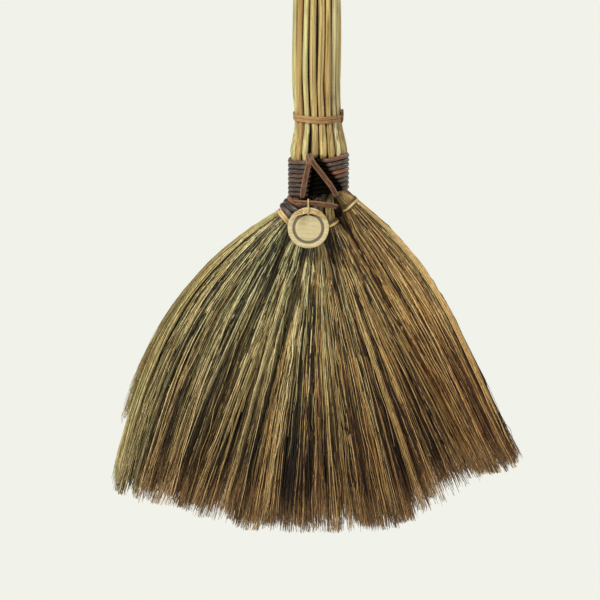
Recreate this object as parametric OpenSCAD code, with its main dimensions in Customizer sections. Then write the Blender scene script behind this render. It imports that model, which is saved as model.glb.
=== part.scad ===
// A fan broom tied by hand from grass: six hands of grass, whose stalks make the handle.
// Every height is measured up from the lowest fibre tips, and in_frame() then lowers the
// broom until the middle of the hand grip is the origin.

/* [Handle] */
// Length of the broom, from the lowest fibre tips to the cut stalk ends
broom_length = 660; // [640:5:700]
// Height of the middle of the hand grip
grip_height = 503; // [440:1:560]
// Distance between stalk centres in the handle
stalk_pitch = 4.1; // [4.1:0.05:4.4]
// Thickness of a stalk in the handle
stalk_d = 3.9; // [3:0.1:3.9]
// Thickness of a stalk where its fibres begin
stalk_end_d = 1.8; // [1.4:0.1:1.8]
// Turn of the stalks about the handle's axis, from the neck to the top
handle_twist = 14; // [0:1:20]

/* [Handle ties] */
// Height of the lowest tie
first_tie_height = 268; // [264:1:272]
// Distance from one tie to the next
tie_spacing = 94; // [80:1:94]
// Width of the split rattan of a tie
tie_strip_w = 2.1; // [2:0.1:3.4]
// Thickness of the split rattan of a tie
tie_strip_t = 1.5; // [1:0.1:1.6]
// Distance from the cut stalk ends down to the top binding
top_binding_drop = 12; // [8:1:20]

/* [Neck] */
// Thickness of the round cord of the neck wrap
wrap_d = 2.8; // [2.4:0.1:2.8]
// Height of the neck wrap's top turn
wrap_top = 243; // [242:0.5:244]
// Half the width of the neck inside its wrap
neck_half_w = 16.6; // [16.4:0.1:17]
// Half the depth of the neck inside its wrap
neck_half_d = 14.6; // [14.2:0.1:15]

/* [Hand ties] */
// Width of the pale strip of a hand's tie
hand_strip_w = 2; // [1.4:0.1:2]
// Thickness of the pale strip of a hand's tie
hand_strip_t = 0.9; // [0.6:0.1:1]
// Half the length of stalk that runs straight inside a hand's tie
tie_reach = 3; // [2.6:0.1:3]

/* [Brush] */
// Half the depth of the brush at its tips
tip_half_depth = 14; // [10:1:18]
// Clear gap between one hand's fibres and the next
hand_gap = 0.8; // [0.5:0.1:2]
// Gap left under the hand ties for the brush to flex in
flex_gap = 5; // [5:0.5:7]

/* [Tag] */
// Diameter of the round tag
tag_d = 26; // [20:1:26]
// Thickness of the tag
tag_t = 1.6; // [1:0.1:2]
// Diameter of the tag's hole
tag_hole_d = 2.4; // [2:0.1:3]
// Thickness of the tag's twine
twine_d = 1.1; // [0.8:0.1:1.2]

/* [Hidden] */

straw = "#c9b27a";
dark_cord = "#54402f";
red_cord = "#6b3a1e";
rattan = "#96713f";
pale_rattan = "#c8ab78";
kraft = "#d2be8e";

wrap_pitch = wrap_d + 0.1;
wrap_tilt = 8;
upper_turns = 4.9;
lower_turns = 3;
wrap_half_w = neck_half_w + wrap_d / 2;
wrap_half_d = neck_half_d + wrap_d / 2;
lower_top = wrap_top - 5 * wrap_pitch;
flare_top = first_tie_height - 6;
neck_top = wrap_top + 2;
outer_ring = 3;
handle_r = outer_ring * stalk_pitch + stalk_d / 2;
tie_count = 4;
tie_turns = 2.05;
binding_turns = 7.05;

// Room left inside the wrap and inside a hand's tie, and the share of a stalk's thickness
// that is left where the wrap squeezes it.
wrap_slack = 0.2;
tie_slack = 0.25;
squeeze = 0.94;

// The hands, from left to right: the tie's centre, the height at which the stalks bend away
// from the neck, the tie's lean from the vertical, and half the width and depth inside it.
LEFT = 0;
INNER_LEFT = 1;
CENTRE_FRONT = 2;
CENTRE_BACK = 3;
INNER_RIGHT = 4;
RIGHT = 5;
hand_centre = [[-19.6, 0, 202.6], [-8.8, -0.5, 196], [0, -6, 196], [0, 6.6, 196],
               [10, -0.5, 200], [21.2, 0, 211.4]];
hand_leave = [215.4, 215.4, 215.4, 215.4, 216.4, 219.4];
hand_lean = [-48, -20, 0, 0, 28, 42];
hand_half_w = [6.2, 3.2, 3.4, 3.4, 3.9, 5.4];
hand_half_d = [7.4, 8.4, 5.2, 5.2, 8.4, 7.4];
hand_colour = ["#8f8350", "#8c7c4a", "#86704a", "#806a45", "#8b6c44", "#93693c"];

// The brush's edges and the lines between its hands: the lean at which each leaves the ties,
// where it ends, and its lean there.
edge_start = [-57, -22, -12, 13.5, 27, 51];
edge_tip = [[-131, 30], [-85, 14], [-46, 1], [52, 3], [106, 30], [131, 48]];
edge_lean = [-10, -21, -11, 13, 26, 23];
hand_edges = [[0, 1], [1, 2], [2, 3], [2, 3], [3, 4], [4, 5]];

// ---------------------------------------------------------------- sweeps

function unit(v) = v / norm(v);

function mix(a, b, t) = a + (b - a) * t;

function heading(path, i) =
    unit(path[min(i + 1, len(path) - 1)] - path[max(i - 1, 0)]);

// One ring of a sweep: an oval, half_w along `up` and half_t across it.
function oval(centre, along, up, half_w, half_t, sides) =
    let (out = unit(cross(up, along)), rise = cross(along, out))
    [for (k = [0:sides - 1])
        centre + half_t * cos(360 * k / sides) * out + half_w * sin(360 * k / sides) * rise];

function side_faces(rings, sides) =
    [for (i = [0:rings - 2], k = [0:sides - 1], half = [0, 1])
        let (a = i * sides + k, b = i * sides + (k + 1) % sides)
        half == 0 ? [a, b + sides, b] : [a, a + sides, b + sides]];

function end_faces(first, sides, flip) =
    [for (k = [1:sides - 2]) flip ? [first, first + k + 1, first + k]
                                  : [first, first + k, first + k + 1]];

// A solid skin over a list of rings of points, closed at both ends.
module skin(rings) {
    sides = len(rings[0]);
    last = (len(rings) - 1) * sides;
    polyhedron(
        points = [for (r = rings, p = r) p],
        faces = concat(side_faces(len(rings), sides),
                       end_faces(0, sides, false),
                       end_faces(last, sides, true)));
}

// A strip or cord swept along a path. sizes holds [half width, half thickness] at each point.
module swept(path, sizes, up, sides = 8) {
    skin([for (i = [0:len(path) - 1])
        oval(path[i], heading(path, i), up, sizes[i][0], sizes[i][1], sides)]);
}

module cord(path, d, up = [0, 0, 1], sides = 8) {
    swept(path, [for (p = path) [d / 2, d / 2]], up, sides);
}

// A closed loop of cord: the path's last point leads back to its first.
module loop_of_cord(path, d, up, sides = 8) {
    n = len(path);
    rings = [for (i = [0:n - 1])
        oval(path[i], unit(path[(i + 1) % n] - path[(i + n - 1) % n]), up, d / 2, d / 2, sides)];
    polyhedron(
        points = [for (r = rings, p = r) p],
        faces = [for (f = side_faces(n + 1, sides)) [for (i = f) i % (n * sides)]]);
}

// A coil wound down an oval post, from angle `start`, with `steps` rings to a turn.
function coil(half_w, half_d, turns, pitch, start = 0, steps = 20) =
    [for (i = [0:round(turns * steps)])
        let (a = start + 360 * i / steps)
        [half_w * cos(a), half_d * sin(a), -pitch * i / steps]];

module in_frame() {
    translate([0, 0, -grip_height]) children();
}

// ---------------------------------------------------------------- stalks

// Stalk k of ring j stands at this place in the handle, with the handle's axis at 0, 0.
function packed(j, k) =
    j == 0 ? [0, 0] : j * stalk_pitch * [cos(60 * k / j), sin(60 * k / j)];

// How far from the middle, across, the outer hands' stalks and the inner hands' stalks begin.
outer_from = 7.5;
inner_from = 3;
front_up_to = -0.1;

function hand_of(p) =
    p[0] < -outer_from ? LEFT
    : p[0] > outer_from ? RIGHT
    : p[0] < -inner_from ? INNER_LEFT
    : p[0] > inner_from ? INNER_RIGHT
    : p[1] < front_up_to ? CENTRE_FRONT
    : CENTRE_BACK;

function places(hand) =
    [for (j = [0:outer_ring], k = [0:max(0, 6 * j - 1)]) let (p = packed(j, k)) if (hand_of(p) == hand) p];

function middle_of(points) =
    [for (c = [0, 1]) (min([for (p = points) p[c]]) + max([for (p = points) p[c]])) / 2];

function turned(p, a) = [p[0] * cos(a) - p[1] * sin(a), p[0] * sin(a) + p[1] * cos(a)];

// The middle of a stalk at height h, above the neck's foot.
function stalk_at(p, h) =
    let (
        straight = max(0, (h - first_tie_height) / (broom_length - first_tie_height)),
        flare = min(1, max(0, (flare_top - h) / (flare_top - neck_top))),
        fill_w = (neck_half_w - stalk_d / 2 - wrap_slack) / (outer_ring * stalk_pitch),
        fill_d = (neck_half_d - stalk_d / 2 - wrap_slack) / (outer_ring * stalk_pitch),
        q = turned(p, handle_twist * straight)
    )
    [q[0] * mix(1, fill_w, flare), q[1] * mix(1, fill_d, flare), h];

// A stalk inside its hand's tie, `below` the tie's centre along the hand's lean.
function stalk_in_tie(p, hand, below) =
    let (
        all = places(hand),
        middle = middle_of(all),
        reach = [for (c = [0, 1]) max([for (a = all) abs(a[c] - middle[c])])],
        corner = max([for (a = all) norm([for (c = [0, 1]) (a[c] - middle[c]) / reach[c]])]),
        room = stalk_end_d / 2 + tie_slack,
        share = [for (c = [0, 1]) (p[c] - middle[c]) / reach[c] / corner],
        across = share[0] * (hand_half_w[hand] - room),
        lean = hand_lean[hand]
    )
    hand_centre[hand]
    + below * [sin(lean), 0, -cos(lean)]
    + across * [cos(lean), 0, sin(lean)]
    + [0, share[1] * (hand_half_d[hand] - room), 0];

module stalks(hand) {
    heights = [broom_length, first_tie_height, flare_top, neck_top, hand_leave[hand]];
    neck_d = squeeze * stalk_d;
    thickness = [stalk_d, stalk_d, stalk_d, neck_d, neck_d, stalk_end_d, stalk_end_d];
    color(straw) in_frame()
        for (p = places(hand)) {
            path = concat([for (h = heights) stalk_at(p, h)],
                          [for (below = [-tie_reach, tie_reach]) stalk_in_tie(p, hand, below)]);
            swept(path, [for (d = thickness) [d / 2, d / 2]], up = [0, 1, 0]);
        }
}

// ---------------------------------------------------------------- brush

function bezier(a, b, c, d, t) =
    mix(mix(mix(a, b, t), mix(b, c, t), t), mix(mix(b, c, t), mix(c, d, t), t), t);

// A point of the hand's middle sheet: s runs across it from -1 to 1, t runs from tie to tip.
function sheet_point(hand, s, t) =
    let (
        lean = hand_lean[hand],
        down = [sin(lean), -cos(lean)],
        start = [hand_centre[hand][0], hand_centre[hand][2]]
              + flex_gap * down + s * hand_half_w[hand] * [cos(lean), sin(lean)],
        share = (s + 1) / 2,
        edges = hand_edges[hand],
        outward = mix(edge_start[edges[0]], edge_start[edges[1]], share),
        finish = mix(edge_tip[edges[0]], edge_tip[edges[1]], share),
        tip_lean = mix(edge_lean[edges[0]], edge_lean[edges[1]], share),
        pull = 0.38 * norm(finish - start)
    )
    bezier(start, start + pull * [sin(outward), -cos(outward)],
           finish - pull * [sin(tip_lean), -cos(tip_lean)], finish, t);

function depth_range(hand, t) =
    let (
        near = hand_centre[hand][1] - hand_half_d[hand],
        far = hand_centre[hand][1] + hand_half_d[hand],
        front = mix(near, -tip_half_depth, t),
        back = mix(far, tip_half_depth, t)
    )
    hand == CENTRE_FRONT ? [front, mix(far, 0, min(1, 3 * t)) - hand_gap / 2]
    : hand == CENTRE_BACK ? [mix(near, 0, min(1, 3 * t)) + hand_gap / 2, back]
    : [front, back];

module brush(hand) {
    sides = 12;
    steps = 8;
    color(hand_colour[hand]) in_frame()
        skin([for (i = [0:steps])
            let (
                t = i / steps,
                depth = depth_range(hand, t),
                width = norm(sheet_point(hand, 1, t) - sheet_point(hand, -1, t)),
                inset = 1 - hand_gap / width
            )
            [for (k = [0:sides - 1])
                let (
                    a = -360 * k / sides,
                    p = sheet_point(hand, inset * cos(a), t)
                )
                [p[0], (depth[0] + depth[1]) / 2 + (depth[1] - depth[0]) / 2 * sin(a), p[1]]]]);
}

// ---------------------------------------------------------------- ties

module hand_tie(hand) {
    turns = 2;
    pitch = hand_strip_w + 0.15;
    half_w = hand_half_w[hand] + hand_strip_t / 2 + 0.1;
    half_d = hand_half_d[hand] + hand_strip_t / 2 + 0.1;
    path = coil(half_w, half_d, turns, pitch, start = 200, steps = 16);
    color(pale_rattan) in_frame()
        translate(hand_centre[hand]) rotate([0, -hand_lean[hand], 0])
            translate([0, 0, turns * pitch / 2])
                swept(path, [for (p = path) [hand_strip_w / 2, hand_strip_t / 2]],
                      up = [0, 0, 1], sides = 6);
}

function tie_height(n) = first_tie_height + n * tie_spacing;

module rattan_coil(height, turns, colour) {
    r = handle_r + tie_strip_t / 2 + 0.15;
    path = coil(r, r, turns, tie_strip_w + 0.1, start = 10, steps = 24);
    color(colour) in_frame()
        translate([0, 0, height])
            swept(path, [for (p = path) [tie_strip_w / 2, tie_strip_t / 2]], up = [0, 0, 1], sides = 6);
}

module handle_tie(n) {
    rattan_coil(tie_height(n) + tie_strip_w, tie_turns, rattan);
}

module top_binding() {
    rattan_coil(broom_length - top_binding_drop, binding_turns, rattan);
}

// The tucked end of each tie stands out as a small lump on the handle's right side.
module handle_tie_knots() {
    knot_r = 1.7;
    reach = handle_r + tie_strip_t + 0.3 + knot_r;
    color(red_cord) in_frame()
        for (n = [0:tie_count - 1])
            translate([reach, 0, tie_height(n) - 1]) sphere(r = knot_r, $fn = 24);
}

// ---------------------------------------------------------------- neck

// Each turn of the wrap slopes, higher on the right.
module wrap(top, turns, colour) {
    level = coil(wrap_half_w, wrap_half_d, turns, wrap_pitch, start = 60, steps = 24);
    color(colour) in_frame()
        translate([0, 0, top])
            cord([for (p = level) p + [0, 0, p[0] * tan(wrap_tilt)]], wrap_d);
}

// Three more turns lean with the left hand: they pass round its outside, and their ends
// tuck in between the hands at the front and the back.
left_turn_edges = [[-16.4, 0, 215.4], [-21.4, 0, 209.8]];
left_turn_leans = [22, 44];

module neck_wrap_left_turns() {
    turn_d = wrap_d - 0.2;
    clear = 0.3;
    half_w = 9;
    foot_half_d = hand_half_d[LEFT] + 1.2;
    color(dark_cord) in_frame()
        for (share = [0.2, 0.6, 1]) {
            edge = mix(left_turn_edges[0], left_turn_edges[1], share);
            lean = mix(left_turn_leans[0], left_turn_leans[1], share);
            half_d = mix(neck_half_d, foot_half_d, share) + turn_d / 2;
            translate(edge) rotate([0, lean, 0])
                translate([half_w - turn_d / 2 - clear, 0, 0])
                    cord([for (a = [120:10:240]) [half_w * cos(a), half_d * sin(a), 0]], turn_d);
        }
}

// A slack turn across the front of the neck, which the tag's twine hangs on.
foot_r = 1.4;
foot_path = [[-13.5, -15.2, 215.4], [-11, -17.8, 215.4], [-7, -19, 215.4], [-3, -19, 215.4],
             [1, -18.9, 215], [6, -18.6, 214.2], [10, -17.6, 213.4], [13, -15.8, 212.6]];

module neck_foot_turn() {
    color(red_cord) in_frame() cord(foot_path, 2 * foot_r);
}

// Two flat strips laced over the wrap as an inverted V.
lace_w = 3.3;
lace_t = 1.3;

module lace(route) {
    color(red_cord) in_frame()
        swept(route, [for (p = route) [lace_w / 2, lace_t / 2]], up = [1, 0, 0]);
}

module lace_left() {
    lace([[-6, -16, 246.4], [-5.8, -18.2, 241.6], [-6.4, -18.4, 234], [-7.8, -18.3, 226],
          [-8.9, -18, 218.6]]);
}

module lace_right() {
    lace([[-2.3, -16, 247.4], [-0.9, -18.4, 242.2], [4, -18.4, 234], [9.2, -17.5, 226],
          [13, -16, 218.6]]);
}

// ---------------------------------------------------------------- tag

twine_x = -5;
twine_hang = [twine_x, -19, 215.4];
tag_hole_at = [twine_x, -22.2, 209.8];
loop_r = foot_r + 0.25 + twine_d / 2;

// The loop of twine goes round the slack turn and through the tag's hole.
module tag_twine() {
    eye_r = 2.7;
    hang = [twine_hang[1], twine_hang[2]];
    eye = [tag_hole_at[1], tag_hole_at[2] + eye_r];
    down = unit(eye - hang);
    out = [down[1], -down[0]];
    loop = concat(
        [for (a = [0:30:180]) hang + loop_r * (cos(a) * out - sin(a) * down)],
        [for (a = [180:30:360]) eye + eye_r * (cos(a) * out - sin(a) * down)]);
    color(pale_rattan) in_frame()
        loop_of_cord([for (p = loop) [twine_x, p[0], p[1]]], twine_d, up = [1, 0, 0]);
}

module tag() {
    rim = 3.4;
    color(kraft) in_frame()
        translate(tag_hole_at) rotate([90, 0, 0])
            difference() {
                translate([0, rim - tag_d / 2, -tag_t / 2]) cylinder(d = tag_d, h = tag_t, $fn = 96);
                translate([0, 0, -tag_t]) cylinder(d = tag_hole_d, h = 2 * tag_t, $fn = 32);
            }
}

// ---------------------------------------------------------------- nodes

stalks(LEFT);  // stalks_left
stalks(INNER_LEFT);  // stalks_inner_left
stalks(CENTRE_FRONT);  // stalks_centre_front
stalks(CENTRE_BACK);  // stalks_centre_back
stalks(INNER_RIGHT);  // stalks_inner_right
stalks(RIGHT);  // stalks_right
brush(LEFT);  // brush_left
brush(INNER_LEFT);  // brush_inner_left
brush(CENTRE_FRONT);  // brush_centre_front
brush(CENTRE_BACK);  // brush_centre_back
brush(INNER_RIGHT);  // brush_inner_right
brush(RIGHT);  // brush_right
hand_tie(LEFT);  // hand_tie_left
hand_tie(INNER_LEFT);  // hand_tie_inner_left
hand_tie(CENTRE_FRONT);  // hand_tie_centre_front
hand_tie(CENTRE_BACK);  // hand_tie_centre_back
hand_tie(INNER_RIGHT);  // hand_tie_inner_right
hand_tie(RIGHT);  // hand_tie_right
handle_tie(0);  // handle_tie_1
handle_tie(1);  // handle_tie_2
handle_tie(2);  // handle_tie_3
handle_tie(3);  // handle_tie_4
handle_tie_knots();
top_binding();
wrap(wrap_top, upper_turns, dark_cord);  // neck_wrap_upper
wrap(lower_top, lower_turns, red_cord);  // neck_wrap_lower
neck_wrap_left_turns();
neck_foot_turn();
lace_left();
lace_right();
tag_twine();
tag();
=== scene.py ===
"""A fan broom tied by hand from grass.

Heights in this file are in millimetres above the lowest fibre tips, as the design has them;
point() turns them into the frame's metres. Six hands of grass make the broom: each hand's
stalks run up the handle, and its fibres fan out below a pale tie.
"""
import math

import bpy
import numpy as np
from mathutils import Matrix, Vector


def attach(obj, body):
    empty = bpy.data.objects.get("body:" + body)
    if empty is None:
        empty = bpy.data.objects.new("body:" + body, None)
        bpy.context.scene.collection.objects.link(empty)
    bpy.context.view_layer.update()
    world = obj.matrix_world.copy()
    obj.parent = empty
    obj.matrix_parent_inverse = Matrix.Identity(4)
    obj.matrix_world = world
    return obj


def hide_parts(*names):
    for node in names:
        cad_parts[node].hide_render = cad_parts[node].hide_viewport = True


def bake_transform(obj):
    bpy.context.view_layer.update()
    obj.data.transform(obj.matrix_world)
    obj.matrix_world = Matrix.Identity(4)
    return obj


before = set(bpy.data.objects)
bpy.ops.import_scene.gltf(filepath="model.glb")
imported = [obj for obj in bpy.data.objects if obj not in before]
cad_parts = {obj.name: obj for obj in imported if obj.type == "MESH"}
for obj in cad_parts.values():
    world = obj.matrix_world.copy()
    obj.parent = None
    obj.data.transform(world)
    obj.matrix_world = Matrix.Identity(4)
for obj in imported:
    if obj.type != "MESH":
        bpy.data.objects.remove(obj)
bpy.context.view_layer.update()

MM = 0.001
GRIP_HEIGHT = 503.0
rng = np.random.default_rng(11)


def point(x, y, h):
    return Vector((x * MM, y * MM, (h - GRIP_HEIGHT) * MM))


def to_frame(points):
    """Points in design millimetres, in an array whose last axis is x, y, height."""
    return (np.asarray(points, float) - [0, 0, GRIP_HEIGHT]) * MM


# ---------------------------------------------------------------- sizes
# These are the design's own numbers, but for the fan's edges: some of EDGE_START, EDGE_TIP
# and EDGE_LEAN are moved, by up to 4 degrees or 8 mm, because the fibres follow the real
# fan's outline more closely than the design's plain solids do.

BROOM_LENGTH = 660.0
STALK_PITCH = 4.1
STALK_D = 3.9
STALK_END_D = 1.8
HANDLE_TWIST = math.radians(14)
TIE_HEIGHTS = [268.0, 362.0, 456.0, 550.0]
FLARE_TOP = 262.0
NECK_TOP = 245.0
NECK_HALF_W = 16.6
NECK_HALF_D = 14.6
WRAP_TOP = 243.0
WRAP_D = 2.8
WRAP_PITCH = 2.9
WRAP_TILT = math.tan(math.radians(8))
HANDLE_R = 3 * STALK_PITCH + STALK_D / 2
TIE_REACH = 3.0
FLEX_GAP = 5.0
TIP_HALF_DEPTH = 14.0

# One value for each hand of grass. Centres are x, y, height, at the middle of the hand's tie;
# HAND_EDGES says which two of the fan's six edges bound the hand.
HANDS = ["left", "inner_left", "centre_front", "centre_back", "inner_right", "right"]
HAND_CENTRE = np.array([(-19.6, 0, 202.6), (-8.8, -0.5, 196), (0, -6, 196), (0, 6.6, 196),
                        (10, -0.5, 200), (21.2, 0, 211.4)])
HAND_LEAVE = [215.4, 215.4, 215.4, 215.4, 216.4, 219.4]
HAND_LEAN = np.radians([-48, -20, 0, 0, 28, 42])
HAND_HALF_W = [6.2, 3.2, 3.4, 3.4, 3.9, 5.4]
HAND_HALF_D = [7.4, 8.4, 5.2, 5.2, 8.4, 7.4]
EDGE_START = np.radians([-60, -22, -12, 13.5, 27, 52])
EDGE_TIP = np.array([(-130, 27.5), (-85, 15.5), (-46, 1), (52, 2), (106, 38), (130, 45)], float)
EDGE_LEAN = np.radians([-12, -21, -11, 13, 26, 27])
HAND_EDGES = [(0, 1), (1, 2), (2, 3), (2, 3), (3, 4), (4, 5)]
LEFT_OF = [None, 0, 1, 1, 2, 4]
RIGHT_OF = [1, 2, 4, 4, 5, None]


def smooth(t):
    """From 0 to 1 with soft ends, as t goes from 0 to 1."""
    t = np.clip(t, 0, 1)
    return t * t * (3 - 2 * t)


def mix(a, b, t):
    return a + (b - a) * t


def down_of(hand):
    """The direction in which a hand's fibres leave its tie."""
    return np.array([math.sin(HAND_LEAN[hand]), 0, -math.cos(HAND_LEAN[hand])])


def across_of(hand):
    return np.array([math.cos(HAND_LEAN[hand]), 0, math.sin(HAND_LEAN[hand])])


def leaning(lean):
    """Turns points (as rows) about y, so that their x axis rises by the angle."""
    return np.array([[math.cos(lean), 0, math.sin(lean)], [0, 1, 0], [-math.sin(lean), 0, math.cos(lean)]])


# ---------------------------------------------------------------- mesh helpers

def added(name, data):
    """A new object in the scene."""
    obj = bpy.data.objects.new(name, data)
    bpy.context.scene.collection.objects.link(obj)
    return obj


def number_points(obj, name, values):
    """Stores a number at each of an object's points, for its material to read."""
    layer = obj.data.attributes.new(name, "FLOAT", "POINT")
    layer.data.foreach_set("value", np.asarray(values, np.float32).reshape(-1))


def unit(v):
    return v / np.maximum(np.linalg.norm(v, axis=-1, keepdims=True), 1e-9)


def tube_faces(count, rings, sides, closed=False):
    """Quads for `count` tubes of `rings` rings, and the two lists of end caps."""
    first = np.arange(count)[:, None, None] * rings * sides
    last_ring = rings if closed else rings - 1
    ring = np.arange(last_ring)[None, :, None]
    side = np.arange(sides)[None, None, :]
    after = (side + 1) % sides
    above = (ring + 1) % rings
    quads = np.stack([first + ring * sides + side, first + ring * sides + after,
                      first + above * sides + after, first + above * sides + side], -1)
    quads = quads.reshape(-1, 4)
    if closed:
        return quads, np.zeros((0, sides), int)
    foot = np.arange(count)[:, None] * rings * sides + np.arange(sides)[None, ::-1]
    head = foot[:, ::-1] + (rings - 1) * sides
    return quads, np.concatenate([foot, head])


def tubes(name, paths, widths, across, profile, attributes=None, closed=False):
    """Tubes swept along paths (count, rings, 3), in millimetres.

    widths (count, rings, 2) scale the profile's two axes; `across` is the direction, for
    every ring, of the profile's first axis before it is squared up to the path.
    """
    paths = np.asarray(paths, float)
    count, rings = paths.shape[:2]
    if closed:
        along = unit(np.roll(paths, -1, 1) - np.roll(paths, 1, 1))
    else:
        along = unit(np.gradient(paths, axis=1))
    across = np.broadcast_to(across, paths.shape)
    across = unit(across - (across * along).sum(-1, keepdims=True) * along)
    rise = np.cross(along, across)
    profile = np.asarray(profile, float)
    sides = len(profile)
    offset = (across[:, :, None] * (profile[:, 0] * widths[:, :, None, 0])[..., None]
              + rise[:, :, None] * (profile[:, 1] * widths[:, :, None, 1])[..., None])
    verts = to_frame((paths[:, :, None] + offset).reshape(-1, 3))
    spread = {}
    for key, values in (attributes or {}).items():
        values = np.asarray(values, float)
        if values.ndim == 1:
            values = values[:, None]
        spread[key] = np.broadcast_to(values[..., None], (count, rings, sides))
    return mesh_from_groups(name, verts, tube_faces(count, rings, sides, closed), spread)


def mesh_from_groups(name, verts, groups, attributes):
    """A mesh object from points in metres and arrays of faces; attributes are numbers at points."""
    groups = [g for g in groups if len(g)]
    mesh = bpy.data.meshes.new(name)
    corners = np.concatenate([g.reshape(-1) for g in groups])
    sizes = np.concatenate([np.full(len(g), g.shape[1]) for g in groups])
    mesh.vertices.add(len(verts))
    mesh.vertices.foreach_set("co", np.asarray(verts, np.float32).reshape(-1))
    mesh.loops.add(len(corners))
    mesh.loops.foreach_set("vertex_index", corners.astype(np.int32))
    mesh.polygons.add(len(sizes))
    starts = np.concatenate([[0], np.cumsum(sizes)[:-1]])
    mesh.polygons.foreach_set("loop_start", starts.astype(np.int32))
    mesh.polygons.foreach_set("loop_total", sizes.astype(np.int32))
    mesh.polygons.foreach_set("use_smooth", np.full(len(sizes), True))
    obj = added(name, mesh)
    for key, values in attributes.items():
        number_points(obj, key, values)
    mesh.update(calc_edges=True)
    mesh.validate()
    return obj


def tint(obj, name, rule):
    """A number at each of the piece's points, worked out from where it is in the design."""
    flat = np.empty(len(obj.data.vertices) * 3, np.float32)
    obj.data.vertices.foreach_get("co", flat)
    points = flat.reshape(-1, 3).astype(float) / MM + [0, 0, GRIP_HEIGHT]
    number_points(obj, name, rule(points))


# ---------------------------------------------------------------- camera, light, floor

VIEW_WIDTH = 381.0  # how much the picture spans at the broom
CAMERA_DISTANCE = 1500.0
CAMERA_ELEVATION = math.radians(12)
SENSOR_MM = 36.0
LOOK_AT = point(-10.2, -13, 152)


def make_camera():
    """A long lens a little above the fan, centred beside the tag's foot as the picture is."""
    away = Vector((0, -math.cos(CAMERA_ELEVATION), math.sin(CAMERA_ELEVATION)))
    data = bpy.data.cameras.new("camera")
    data.sensor_width = SENSOR_MM
    data.lens = SENSOR_MM * CAMERA_DISTANCE / VIEW_WIDTH
    camera = added("camera", data)
    camera.location = LOOK_AT + away * CAMERA_DISTANCE * MM
    camera.rotation_euler = (-away).to_track_quat("-Z", "Y").to_euler()
    bpy.context.scene.camera = camera


BACKDROP = np.array([0.888, 0.896, 0.831])
FILL = np.array([0.27, 0.27, 0.27])
KEY_COLOUR = np.array([1.0, 0.965, 0.90])
KEY_STRENGTH = 3.4
KEY_FROM = Vector((-0.62, -0.85, 1.0)).normalized()
LAMP_SPILL = 0.01


def area_light(name, place, size, power, colour):
    """A round lamp that faces the broom."""
    data = bpy.data.lights.new(name, "AREA")
    data.shape = "DISK"
    data.size = size
    data.energy = power
    data.color = colour
    light = added(name, data)
    light.location = place
    light.rotation_euler = (LOOK_AT - light.location).to_track_quat("-Z", "Y").to_euler()


def make_key():
    """A broad, even key from the front, high on the left."""
    data = bpy.data.lights.new("key", "SUN")
    data.energy = KEY_STRENGTH
    data.color = KEY_COLOUR
    data.angle = math.radians(14)
    added("key", data).rotation_euler = KEY_FROM.to_track_quat("Z", "Y").to_euler()


def make_world():
    """A pale sky that is seen at the backdrop's brightness but lights the broom less."""
    world = bpy.data.worlds.new("studio")
    world.use_nodes = True
    tree = world.node_tree
    seen = tree.nodes["Background"]
    seen.inputs["Color"].default_value = (*BACKDROP, 1)
    fill = tree.nodes.new("ShaderNodeBackground")
    fill.inputs["Color"].default_value = (*FILL, 1)
    chosen = tree.nodes.new("ShaderNodeMixShader")
    tree.links.new(tree.nodes.new("ShaderNodeLightPath").outputs["Is Camera Ray"], chosen.inputs[0])
    tree.links.new(fill.outputs[0], chosen.inputs[1])
    tree.links.new(seen.outputs[0], chosen.inputs[2])
    tree.links.new(chosen.outputs[0], tree.nodes["World Output"].inputs["Surface"])
    bpy.context.scene.world = world


def make_floor():
    """A wide pale floor, painted so that under all the lights it is the backdrop's colour."""
    floor_drop = 2.2
    half = 60.0
    level = -GRIP_HEIGHT * MM - floor_drop
    corners = [(-half, -half, level), (half, -half, level), (half, half, level), (-half, half, level)]
    floor = mesh_from_groups("floor", corners, [np.array([[0, 1, 2, 3]])], {})
    arriving = FILL + KEY_COLOUR * KEY_STRENGTH * KEY_FROM.z / math.pi + LAMP_SPILL
    paint = bpy.data.materials.new("floor_paint")
    paint.use_nodes = True
    shader = paint.node_tree.nodes["Principled BSDF"]
    shader.inputs["Base Color"].default_value = (*(BACKDROP / arriving), 1)
    shader.inputs["Roughness"].default_value = 1.0
    shader.inputs["Specular IOR Level"].default_value = 0.0
    floor.data.materials.append(paint)


def make_studio():
    bpy.context.scene.view_settings.view_transform = "Standard"
    make_world()
    make_key()
    area_light("warm_side", Vector((1.3, -0.5, 0.2)), 0.35, 4, (1.0, 0.86, 0.66))
    area_light("rim", Vector((0.9, 1.1, 0.7)), 0.4, 10, (1.0, 0.93, 0.78))
    make_floor()


# ---------------------------------------------------------------- materials

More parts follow.
